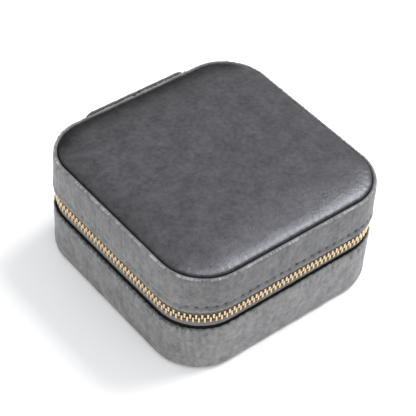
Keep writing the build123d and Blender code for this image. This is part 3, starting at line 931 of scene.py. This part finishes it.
# outlines of half a clamp in millimetres, as (out, up) from the split
TOOTH_OUTLINE = [
    (0.33, -2.00), (0.45, -2.10), (0.72, -2.10), (0.90, -1.92), (0.95, -1.55), (0.95, -1.10),
    (0.93, -0.60), (0.93, -0.10), (0.86, 0.20), (0.66, 0.38), (0.33, 0.44),
]
STOP_OUTLINE = [
    (0.33, -2.00), (0.45, -2.10), (0.70, -2.10), (0.85, -1.90), (0.85, -1.2), (0.85, -0.6),
    (0.66, -0.35), (0.33, -0.30),
]


def clamp_rings(outline, width, waist):
    """Metal clamped on the lower tape's edge, in (along, out, up): slices along the track."""
    slot = [(0.0, -0.90), (0.26, -0.92), (0.33, -1.05), (0.33, -1.6)]
    right = np.array(slot[1:] + outline)
    crown = [(0.0, outline[-1][1] + 0.02)]
    loop = np.vstack([right, crown, right[::-1] * (-1, 1), [slot[0]]]) * MM
    tangent = np.roll(loop, -1, 0) - np.roll(loop, 1, 0)
    inward = np.stack([-tangent[:, 1], tangent[:, 0]], -1)
    inward /= np.linalg.norm(inward, axis=1)[:, None]
    neck = 1 - waist * bump(loop[:, 1], -0.85 * MM, 0.35 * MM)
    rings = []
    for share in (-1.0, -0.93, -0.75, -0.4, 0.0, 0.4, 0.75, 0.93, 1.0):
        ring = loop + inward * 0.26 * MM * abs(share) ** 4
        rings.append(np.column_stack([share * width / 2 * neck, ring]))
    return rings


def set_on_track(shape, at, out, up):
    """A shape in (along, out, up) set on the zipper's track at a skeleton point of the wall."""
    points, faces = shape
    ahead = np.array([-out[1], out[0]])
    base = at + out * (TRACK_HALF - CORNER_CENTRE)
    flat = base + points[:, :1] * ahead + points[:, 1:2] * out
    return np.column_stack([flat, SPLIT_Z - chain_sag(out) + up * points[:, 2]]), faces


def make_teeth(row):
    """One row of teeth, half a pitch from the other row."""
    cell = 2 * CORNER_CENTRE + (TRACK_HALF - CORNER_CENTRE) * math.pi / 2
    end = 3 * cell + CORNER_CENTRE + LAST_TOOTH_Y
    start = FIRST_TOOTH + (TOOTH_PITCH / 2 if row == "upper" else 0)
    skeleton, outward = wall_place(np.arange(start, end, TOOTH_PITCH), TRACK_HALF)
    tooth = loft(clamp_rings(TOOTH_OUTLINE, TOOTH_WIDTH, TOOTH_WAIST))
    up = -1 if row == "upper" else 1
    teeth = [set_on_track(tooth, at, out, up) for at, out in zip(skeleton, outward)]
    piece = joined(f"zipper_teeth_{row}_row", teeth)
    place_piece(piece, GOLD, ROW_BODY[row], "zipper_metal", f"zipper_teeth_{row}")


def make_stop(node, body):
    """A stop clamped on the tape's edge where its CAD node stands."""
    low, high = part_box(node)
    middle = (low + high) / 2
    sideways = abs(middle.x) > abs(middle.y)
    at = np.array([CORNER_CENTRE, middle.y] if sideways else [middle.x, CORNER_CENTRE])
    out = np.array([1.0, 0.0] if sideways else [0.0, 1.0])
    up = 1 if middle.z < SPLIT_Z else -1
    shape = loft(clamp_rings(STOP_OUTLINE, STOP_WIDTH, 0.0))
    piece = joined(f"{node}_plated", [set_on_track(shape, at, out, up)])
    place_piece(piece, GOLD, body, "zipper_metal", node)


# ---------------------------------------------------------------- slider and pull tab

SLIDER_Y = 24.0 * MM
SLIDER_LENGTH = 9.0 * MM
SLIDER_HALF_WIDTH = 3.6 * MM
OUTER_PLATE = (49.9 * MM, 50.62 * MM)
INNER_PLATE = (47.6 * MM, 46.98 * MM)
WELD = 1e-6


def rounded_section(half_u, half_v, radius, count=4):
    """A rounded rectangle's points, anticlockwise."""
    points = []
    for k, (su, sv) in enumerate(((1, 1), (-1, 1), (-1, -1), (1, -1))):
        for a in np.linspace(0, math.pi / 2, count):
            angle = a + k * math.pi / 2
            points.append(
                (su * (half_u - radius) + radius * math.cos(angle),
                 sv * (half_v - radius) + radius * math.sin(angle))
            )
    return np.array(points)


def slider_plate(x_from, x_to, crown):
    """A slider plate between two x values, its outline rounded and its rim bevelled."""
    outline = rounded_section(SLIDER_LENGTH / 2, SLIDER_HALF_WIDTH, 1.6 * MM, 7)
    levels = [
        (x_from + share * (x_to - x_from), 1 - inset * MM / SLIDER_HALF_WIDTH)
        for share, inset in ((0, 0.18), (0.15, 0.04), (0.35, 0), (0.65, 0), (0.88, 0.06), (1, 0.25))
    ]
    levels += [(x_to + crown * (1 - scale**2), scale) for scale in (0.7, 0.4, 0.12)]
    rings = []
    for x, scale in levels:
        y, z = SLIDER_Y + outline[:, 0] * scale, SPLIT_Z + outline[:, 1] * scale
        rings.append(np.column_stack([np.full(len(outline), x), y, z]))
    return loft(rings)


def bar_along(path, height, half_width, half_thick, radius):
    """A bar of rounded section along a path of (x, y) at that height."""
    path = np.array(path)
    tangent = np.gradient(path, axis=0)
    tangent /= np.linalg.norm(tangent, axis=1)[:, None]
    section = rounded_section(half_width, half_thick, radius)
    rings = []
    for place, ahead in zip(path, tangent):
        side = np.array([-ahead[1], ahead[0]])
        flat = place + section[:, 1:] * side
        rings.append(np.column_stack([flat, height + section[:, 0]]))
    return loft(rings)


def make_slider():
    """The slider: two plates with turned-in rims, the post between them, and an arched bridge."""
    bodies = [slider_plate(*OUTER_PLATE, 0.12 * MM), slider_plate(*INNER_PLATE, 0.0)]
    rim = SLIDER_LENGTH / 2 - 1.5 * MM
    for side in (-1, 1):
        for x in (OUTER_PLATE[0] - 0.33 * MM, INNER_PLATE[0] + 0.33 * MM):
            path = [(x, SLIDER_Y - rim), (x, SLIDER_Y), (x, SLIDER_Y + rim)]
            height = SPLIT_Z + side * (SLIDER_HALF_WIDTH - 0.35 * MM)
            bodies.append(bar_along(path, height, 0.32 * MM, 0.40 * MM, 0.15 * MM))
    post = [(x * MM, SLIDER_Y + 2.9 * MM) for x in (47.5, 48.3, 49.1, 50.0)]
    bodies.append(bar_along(post, SPLIT_Z, 0.75 * MM, 1.25 * MM, 0.5 * MM))
    arch = [(50.4, -3.0), (51.3, -3.02), (52.0, -2.95), (52.45, -2.72), (52.72, -2.3), (52.8, -1.7)]
    arch = [(x * MM, SLIDER_Y + y * MM) for x, y in arch]
    arch += [(52.8 * MM, SLIDER_Y + y * MM) for y in (-0.8, 0.0, 0.8)]
    arch += [(x, 2 * SLIDER_Y - y) for x, y in arch[5::-1]]
    bodies.append(bar_along(arch, SPLIT_Z, 0.78 * MM, 0.38 * MM, 0.22 * MM))
    place_piece(joined("slider_cast", bodies), GOLD, "slider", "zipper_metal", "slider_body")


def make_pull_tab():
    """A flat tab with softened edges: an eye round the slider's bridge, and a hole near its end."""
    low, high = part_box("pull_tab")
    middle_x, end = (low.x + high.x) / 2, low.y
    bevel = 0.16 * MM
    flat = bpy.data.curves.new("pull_tab_outline", "CURVE")
    flat.dimensions = "2D"
    flat.fill_mode = "BOTH"
    flat.extrude = (high.x - low.x) / 2 - bevel
    flat.bevel_depth = bevel
    flat.bevel_resolution = 3
    flat.offset = -bevel

    def outline(points):
        spline = flat.splines.new("POLY")
        spline.points.add(len(points) - 1)
        for point, (along, across) in zip(spline.points, points):
            point.co = (along, across, 0, 1)
        spline.use_cyclic_u = True

    length = SLIDER_Y - end
    wide, eye, eye_end = 3.0 * MM, 2.15 * MM, length - 4.5 * MM
    tip_length, tip_half = 2.9 * MM, 2.98 * MM
    hole_at, hole_radius = 3.4 * MM, 1.0 * MM
    tip = [
        (tip_length - tip_length * math.cos(a), tip_half * math.sin(a))
        for a in np.linspace(-math.pi / 2, math.pi / 2, 25)
    ]
    upper_side = from_corner(eye_end, wide, (-0.9, 0), (-0.25, -0.22)) + [(eye_end, eye + 0.1 * MM)]
    upper_side += from_corner(length, eye, (0, 0), (0.42, -0.3))
    outline(tip + upper_side + [(x, -y) for x, y in reversed(upper_side)])
    window = rounded_section(2.05 * MM, 1.35 * MM, 0.5 * MM)
    outline([(length - 2.5 * MM + u, v) for u, v in window[::-1]])
    circle = np.linspace(0, 2 * math.pi, 33)[:-1]
    outline([(hole_at + hole_radius * math.cos(a), -hole_radius * math.sin(a)) for a in circle])
    holder = add_object("pull_tab_outline", flat)
    solid = holder.evaluated_get(bpy.context.evaluated_depsgraph_get()).to_mesh()
    places = vertex_places(solid)
    faces = [list(p.vertices) for p in solid.polygons]
    holder.to_mesh_clear()
    bpy.data.objects.remove(holder)
    points = np.column_stack([middle_x + places[:, 2], end + places[:, 0], SPLIT_Z + places[:, 1]])
    piece = make_piece("pull_tab_plated", points, faces, weld=WELD)
    piece.data.set_sharp_from_angle(angle=math.radians(40))
    place_piece(piece, GOLD, "puller", "zipper_metal", "pull_tab")


# ---------------------------------------------------------------- blocks of board and foam


def divide(low, high, radius, spacing):
    """Coordinates from low to high: close together inside each rounded edge."""
    bend = radius * (1 - np.cos(np.linspace(0, math.pi / 2, 5)))
    count = max(2, round((high - low - 2 * radius) / spacing) + 1)
    middle = np.linspace(low + radius, high - radius, count)
    return np.concatenate([low + bend[:-1], middle, (high - bend[:-1])[::-1]])


def rounded_block(low, high, radius, spacing):
    """Points and faces of a box with rounded edges and corners, evenly divided."""
    low, high = np.array(low, float), np.array(high, float)
    lines = [divide(low[k], high[k], radius, spacing) for k in range(3)]
    points, faces = [], []
    known = {}

    def corner(place):
        key = tuple(np.round(place * 1e7).astype(int))
        if key not in known:
            known[key] = len(points)
            points.append(place)
        return known[key]

    for axis in range(3):
        u, v = [k for k in range(3) if k != axis]
        for level in (low[axis], high[axis]):
            grid = np.empty((len(lines[u]), len(lines[v])), int)
            for i, a in enumerate(lines[u]):
                for j, b in enumerate(lines[v]):
                    place = np.empty(3)
                    place[axis], place[u], place[v] = level, a, b
                    grid[i, j] = corner(place)
            faces += quad_grid(grid)
    points = np.array(points)
    core = np.clip(points, low + radius, high - radius)
    away = points - core
    length = np.linalg.norm(away, axis=1, keepdims=True)
    return core + away / np.maximum(length, 1e-12) * radius, faces


SURFACE_WAVES = 16


def uneven_surface(points, size, amount, seed):
    """Moves points a little, by smooth waves across the piece."""
    random = np.random.default_rng(seed)
    shift = np.zeros(len(points))
    for _ in range(SURFACE_WAVES):
        heading = random.normal(size=3)
        heading /= np.linalg.norm(heading)
        wave = random.uniform(0.6, 1.6) * 2 * math.pi / size
        shift += np.cos(points @ heading * wave + random.uniform(0, 2 * math.pi))
    centre = (points.max(0) + points.min(0)) / 2
    away = points - centre
    away /= np.linalg.norm(away, axis=1, keepdims=True)
    return points + away * shift[:, None] * amount / math.sqrt(SURFACE_WAVES)


def velvet_block(node, body, radius, seed):
    """A velvet-wrapped board or wall in its CAD node's place."""
    low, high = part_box(node)
    points, faces = rounded_block(low, high, radius, 1.2 * MM)
    points = np.clip(uneven_surface(points, 9 * MM, 0.10 * MM, seed), low, high)
    piece = make_piece(f"{node}_velvet", points, faces)
    place_piece(piece, LINING_VELVET, body, "lining_velvet", node)


# ---------------------------------------------------------------- ring rolls

ROLLS = 8
ROLL_ROUNDING = 5.2 * MM
TRAY_CORNER_HALF = 44.9 * MM
ROLL_PRESSURE = 4.0
ROLL_SWELLING = 0.30 * MM


def roll_cover(index):
    """One roll's velvet cover: round on top, its outer end following the tray's corner."""
    low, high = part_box(f"ring_roll_cover_{index}")
    half_width = (high.y - low.y) / 2 - 0.12 * MM
    middle = (high.y + low.y) / 2
    top, floor = high.z - 0.30 * MM, low.z + 0.02 * MM
    arc = [
        (-math.cos(a) * half_width, top - ROLL_ROUNDING * (1 - math.sin(a)))
        for a in np.linspace(0, math.pi, 19)
    ]
    side = np.linspace(floor + 0.5 * MM, top - ROLL_ROUNDING, 12)[:-1]
    base = np.linspace(-half_width + 0.4 * MM, half_width - 0.4 * MM, 9)
    section = [(-half_width, z) for z in side] + arc + [(half_width, z) for z in side[::-1]]
    section = np.array(section + [(y, floor) for y in base[::-1]])
    centre_z = (top + floor) / 2
    rings = []
    stations = np.concatenate([[0, 0.01, 0.03], np.linspace(0.06, 0.94, 34), [0.97, 0.99, 1]])
    squeeze = np.concatenate([[0.86, 0.95, 0.99], np.ones(34), [0.99, 0.95, 0.86]])
    for t, shrink in zip(stations, squeeze):
        y = middle + section[:, 0] * shrink
        z = centre_z + (section[:, 1] - centre_z) * shrink
        over = np.maximum(np.abs(y) - CORNER_CENTRE, 0)
        radius = TRAY_CORNER_HALF - CORNER_CENTRE
        wall = -CORNER_CENTRE - np.sqrt(np.maximum(radius**2 - over**2, 0))
        x = (wall + 0.05 * MM) * (1 - t) + (high.x - 0.05 * MM) * t
        rings.append(np.column_stack([x, y, z]))
    return loft(rings)


def make_rolls():
    """One roll swells in a simulation, and all the rolls take its swelling."""
    shapes = [roll_cover(i) for i in range(1, ROLLS + 1)]
    move = np.zeros_like(shapes[0][0])
    rough = joined("roll_simulation", [shapes[ROLLS // 2]])
    places = vertex_places(rough.data)
    held = np.flatnonzero(places[:, 2] < places[:, 2].min() + 0.3 * MM)
    move = simulate_swelling(rough, held, ROLL_PRESSURE, ROLL_SWELLING)[1]
    move[:, 1] = np.clip(move[:, 1], -0.10 * MM, 0.10 * MM)
    move[:, 0] = np.clip(move[:, 0], -0.04 * MM, 0.04 * MM)
    bpy.data.objects.remove(rough)
    for index, (points, faces) in enumerate(shapes, 1):
        places = uneven_surface(points + move, 6 * MM, 0.05 * MM, 60 + index)
        # Painted shade in the crease between neighbouring rolls, where each top rounds into its sides.
        crease = bump(places[:, 2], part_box(f"ring_roll_cover_{index}")[1].z - ROLL_ROUNDING, 3 * MM)
        piece = make_piece(f"ring_roll_velvet_{index}", places, faces, -0.15 * crease)
        place_piece(piece, LINING_VELVET, "base", "lining_velvet", f"ring_roll_cover_{index}")


# ---------------------------------------------------------------- linings and mirror frame


def make_lining(body):
    """A thin lining on a shell's inside, turned out over the shell's rim."""
    lip_up = body == "base"
    low, high = (corner.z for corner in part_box(f"{body}_lining"))
    inside, outside, lip = 45.02 * MM, 45.55 * MM, 46.75 * MM
    sign = 1 if lip_up else -1
    near, far = (low, high) if lip_up else (high, low)
    turn = far - sign * 0.6 * MM
    shown = [
        (outside, near),
        (inside, near),
        (inside, far - sign * 0.35 * MM),
        (inside + 0.12 * MM, far - sign * 0.08 * MM),
        (inside + 0.45 * MM, far),
        (lip - 0.15 * MM, far),
        (lip, far - sign * 0.2 * MM),
        (lip, turn),
        (outside, turn),
    ]
    profile = smooth_line(shown, 0.5 * MM, 0)
    s = ring_steps(1.4 * MM)[:, None]
    half, z = along_ring(profile, s)
    face = 1 - smooth_step(half, inside + 0.05 * MM, inside + 0.3 * MM)
    half -= face * 0.03 * MM * (1 + ripple(s, z, 20 * MM, 5 * MM, 51 + lip_up))
    piece = sweep(f"{body}_lining_velvet", s[:, 0], half, z)
    place_piece(piece, LINING_VELVET, body, "lining_velvet", f"{body}_lining")


def make_floor_liner():
    """The velvet-covered board on the base's floor."""
    low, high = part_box("floor_liner")

    def top(x, y, depth):
        dip = 0.5 * MM * np.exp(-depth / (0.4 * MM))
        return high.z - dip - 0.04 * MM * (1 + ripple(x + 0.2 * y, 0.7 * y, 30 * MM, 8 * MM, 55))

    depths = np.array([0, 0.2, 0.5, 0.9, 1.5, 3, 6, 10, 14]) * MM
    half, under_z = high.x - 0.03 * MM, low.z + 0.02 * MM
    piece = plate("floor_liner_velvet", half, top, under_z, depths, 1.4 * MM)
    place_piece(piece, LINING_VELVET, "base", "lining_velvet", "floor_liner")


def make_mirror_frame():
    """The padded velvet frame round the mirror."""
    low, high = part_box("mirror_frame")[0].z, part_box("mirror_frame")[1].z
    outer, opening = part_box("mirror_frame")[1].x, 36.2 * MM
    pocket, glass_low = 37.65 * MM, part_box("mirror_glass")[0].z
    shown = [
        (pocket, high - 0.05 * MM),
        (pocket, glass_low - 0.02 * MM),
        *from_corner(opening, glass_low, (0.10, -0.02), (-0.10, -0.22)),
        *from_corner(opening, low, (0.15, 0.20), (1.2, -0.05)),
        ((opening + outer) / 2, low - 0.14 * MM),
        *from_corner(outer, low, (-1.4, -0.05), (-0.2, 0.35), (-0.02, 0.95)),
        *from_corner(outer, high, (-0.02, -0.05)),
    ]
    profile = smooth_line(shown, 0.45 * MM, 1)
    s = ring_steps(1.1 * MM)[:, None]
    half, z = along_ring(profile, s)
    face = 1 - smooth_step(z, low, low + 0.4 * MM)
    gather = ripple(s, half * 0.2, 6 * MM, 2.5 * MM, 57)
    z -= face * 0.05 * MM * ripple(s, half, 18 * MM, 5 * MM, 58)
    z += 0.06 * MM * gather * bump(half, opening, 1.2 * MM)
    # Painted light and shade along the gathers by the opening, and painted shade at the outer edge.
    tone = 0.2 * bump(half, opening + 0.2 * MM, 0.6 * MM) * gather
    tone -= 0.4 * smooth_step(half, outer - 0.4 * MM, outer)
    piece = sweep("mirror_frame_velvet", s[:, 0], half, z, tone=tone)
    place_piece(piece, LINING_VELVET, "lid", "lining_velvet", "mirror_frame")


# ---------------------------------------------------------------- hinge


def bend_at_split(piece, low, high, reach, slot, *nodes):
    """Bakes a panel's place into its points and hides the CAD nodes it stands for; reach is not used."""
    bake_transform(piece)
    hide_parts(*nodes)


def round_outline(points, low, high, radius):
    """Turns the square corners of a panel in the XZ plane into round ones."""
    inner_low, inner_high = (low.x + radius, low.z + radius), (high.x - radius, high.z - radius)
    centre = np.clip(points[:, (0, 2)], inner_low, inner_high)
    away = points[:, (0, 2)] - centre
    size = np.abs(away).max(1)
    length = np.linalg.norm(away, axis=1)
    points[:, (0, 2)] = centre + away * (size / np.maximum(length, 1e-12))[:, None]
    return points


def make_hinge_panel():
    """The velvet hinge panel: one piece, creased at the split, with a sewn border."""
    low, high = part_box("hinge_panel_lower")[0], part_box("hinge_panel_upper")[1]
    low = Vector((low.x, low.y + 0.04 * MM, low.z))
    high = Vector((high.x, high.y, high.z + 0.45 * MM))
    points, faces = rounded_block(low, high, 0.6 * MM, 0.9 * MM)
    points = round_outline(points, low, high, 4 * MM)
    x, y, z = points.T
    outer = smooth_step(y, high.y - 0.5 * MM, high.y - 0.1 * MM)
    edge = np.minimum(np.minimum(x - low.x, high.x - x), np.minimum(z - low.z, high.z - z))
    sewn = bump(edge, 2.4 * MM, 0.5 * MM)
    swell = ripple(x, z, 24 * MM, 6 * MM, 61)
    crease = bump(z, SPLIT_Z, 0.9 * MM)
    points[:, 1] += outer * MM * (0.07 * swell - 0.22 * sewn - 0.30 * crease)
    top_edge = smooth_step(z, high.z - 0.6 * MM, high.z)
    fold = bump(x, 0.6 * MM, 0.7 * MM) * top_edge
    points[:, 2] -= 0.5 * MM * fold - 0.06 * MM * top_edge * ripple(x, 0.0, 9 * MM, 3 * MM, 62)
    # The tone is painted shade: along the sewn border, in the crease at the split, at the top edge and
    # its fold, and on the face against the case.
    tone = outer * (-0.2 * sewn - 0.25 * crease) - 0.12 * top_edge
    tone -= 0.6 * (1 - smooth_step(y, low.y + 0.45 * MM, low.y + 0.85 * MM)) + 0.4 * fold
    piece = paint(make_piece("hinge_panel_velvet", points, faces, tone), PANEL_VELVET)
    bend_at_split(piece, low, high, 3 * MM, "velvet", "hinge_panel_lower", "hinge_panel_upper")


def make_hinge_strip():
    """The strip that covers the hinge inside the case."""
    low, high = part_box("hinge_strip_lower")[0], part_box("hinge_strip_upper")[1]
    points, faces = rounded_block(low, high, 0.2 * MM, 0.8 * MM)
    points[:, 1] -= 0.05 * MM * (1 + ripple(points[:, 0], points[:, 2], 16 * MM, 5 * MM, 65))
    piece = paint(make_piece("hinge_strip_velvet", points, faces), LINING_VELVET)
    bend_at_split(piece, low, high, 4 * MM, "lining_velvet", "hinge_strip_lower", "hinge_strip_upper")


# ---------------------------------------------------------------- carried-over parts


def finish_carried_parts():
    """Procedural materials for the rigid CAD parts that are kept as they are."""
    materials = {
        "base_shell": BLACK_PLASTIC,
        "lid_shell": BLACK_PLASTIC,
        "mirror_glass": MIRROR,
        "mirror_adhesive_pad": ADHESIVE,
    }
    for index in range(1, ROLLS + 1):
        materials[f"ring_roll_core_{index}"] = FOAM
    for node, material in materials.items():
        paint(frame["nodes"][node], material)


# ---------------------------------------------------------------- stage and light

FLOOR_SIZE = 6.0
FLOOR_PATCH = 0.4
SKY_COLOUR = (0.97, 0.98, 1.0, 1)
SKY_STRENGTH = 0.97
SKY_SIDE = 0.70
BRIGHT_SIDE = (-0.98, -0.18, 0)
LAMP_DISTANCE = 1.5
WINDOW_WHITE = (0.96, 0.98, 1.0)
GLINT_WHITE = (0.92, 0.95, 1.0)


def make_stage():
    reach = FLOOR_SIZE / 2
    corners = [(-reach, -reach, 0), (reach, -reach, 0), (reach, reach, 0), (-reach, reach, 0)]
    floor_mesh = bpy.data.meshes.new("floor")
    floor_mesh.from_pydata(corners, [], [[0, 1, 2, 3]])
    nodes = Nodes("floor_white")
    cast = nodes.noise(nodes.object_place(), FLOOR_PATCH, 2.0)
    nodes.colour(nodes.blend(cast, (0.90, 0.90, 0.895), (0.92, 0.92, 0.915)))
    nodes.set(roughness=0.9, specular_ior_level=0.1)
    floor = paint(add_object("floor", floor_mesh), nodes.material)


def softbox(name, azimuth, elevation, width, power, colour, gloss_on=None):
    """A square soft light aimed at the case. With gloss_on, it gives only that piece a gloss."""
    light = bpy.data.lights.new(name, "AREA")
    light.size = width
    light.energy = power
    light.color = colour
    lamp = add_object(name, light)
    away = direction(azimuth, elevation)
    lamp.location = away * LAMP_DISTANCE
    lamp.rotation_mode = "QUATERNION"
    lamp.rotation_quaternion = away.to_track_quat("Z", "Y")
    if gloss_on:
        lamp.visible_diffuse = False
        lit = bpy.data.collections.new(f"{name}_falls_on")
        lit.objects.link(gloss_on)
        lamp.light_linking.receiver_collection = lit


def make_light():
    """A sky that is brighter on one side, a window, and two lights that gloss the top panel."""
    world = bpy.data.worlds.new("studio")
    world.use_nodes = True
    tree = world.node_tree
    background = tree.nodes["Background"]
    background.inputs["Color"].default_value = SKY_COLOUR
    side = tree.nodes.new("ShaderNodeVectorMath")
    side.operation = "DOT_PRODUCT"
    side.inputs[1].default_value = BRIGHT_SIDE
    tree.links.new(tree.nodes.new("ShaderNodeTexCoord").outputs["Generated"], side.inputs[0])
    strength = tree.nodes.new("ShaderNodeMath")
    strength.operation = "MULTIPLY_ADD"
    strength.inputs[1].default_value = SKY_SIDE
    strength.inputs[2].default_value = SKY_STRENGTH
    tree.links.new(side.outputs["Value"], strength.inputs[0])
    tree.links.new(strength.outputs[0], background.inputs["Strength"])
    bpy.context.scene.world = world
    lid_top = bpy.data.objects["lid_top_velvet"]
    softbox("window", 85, 53, 0.75, 24, WINDOW_WHITE)
    softbox("glint", 82, 53, 0.65, 300, GLINT_WHITE, gloss_on=lid_top)
    softbox("near_glint", -20, 80, 0.70, 170, GLINT_WHITE, gloss_on=lid_top)
    bpy.context.scene.view_settings.view_transform = "Standard"


# ---------------------------------------------------------------- making

make_lid_wall()
make_base_wall()
make_lid_top()
make_foam_pad()
make_bottom_panel()
make_hinge_panel()
make_hinge_strip()
make_tape("lower")
make_tape("upper")
make_teeth("lower")
make_teeth("upper")
make_stop("top_stop_lower", "base")
make_stop("top_stop_upper", "lid")
make_stop("bottom_stop", "base")
make_slider()
make_pull_tab()
velvet_block("centre_divider", "base", 0.8 * MM, 71)
velvet_block("divider_front", "front_divider", 0.9 * MM, 72)
velvet_block("divider_back", "back_divider", 0.9 * MM, 73)
make_rolls()
make_lining("base")
make_lining("lid")
make_floor_liner()
make_mirror_frame()
finish_carried_parts()
make_stage()
make_light()
